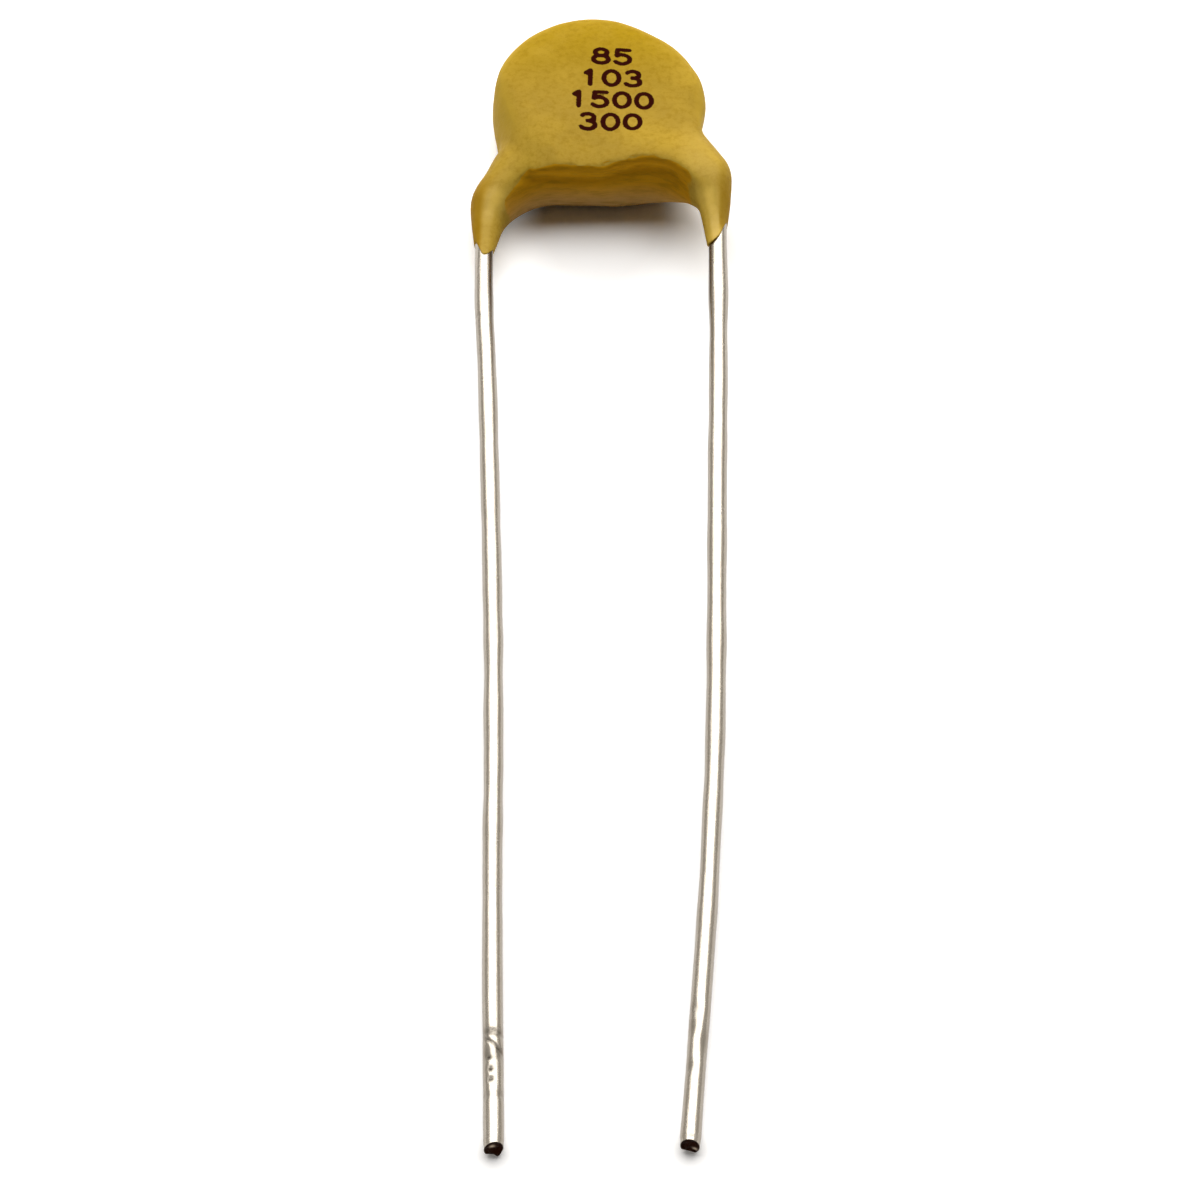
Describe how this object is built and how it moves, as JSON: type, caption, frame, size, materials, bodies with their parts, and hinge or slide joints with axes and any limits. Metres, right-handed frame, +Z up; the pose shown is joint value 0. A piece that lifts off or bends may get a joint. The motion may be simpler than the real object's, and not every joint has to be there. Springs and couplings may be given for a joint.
{
  "type": "ceramic disc capacitor",
  "caption": "Ceramic disc in a dipped mustard coating on long bare wire leads, lying flat: a small capacitor that is soldered into a circuit board.",
  "frame": {"origin": "on the surface it lies on, under the middle of its length and width", "axes": "+Y along its length from the lead tips towards the disc, +Z up out of the face of the disc, +X towards the lead on the upper face"},
  "size_m": [0.0086, 0.0432, 0.0026],
  "materials": {
    "epoxy_coating": "satin dipped epoxy, finely mottled mustard",
    "ceramic": "fired, unglazed, light brown",
    "silver_film": "matt fired silver",
    "solder": "dull grey solder",
    "tinned_wire": "bright tin over wire, lightly drawn"
  },
  "bodies": {
    "root": {"coating": "epoxy_coating", "ceramic_disc": "ceramic", "electrode_upper": "silver_film", "electrode_lower": "silver_film", "solder_upper": "solder", "solder_lower": "solder", "lead_left": "tinned_wire", "lead_right": "tinned_wire"}
  },
  "joints": []
}
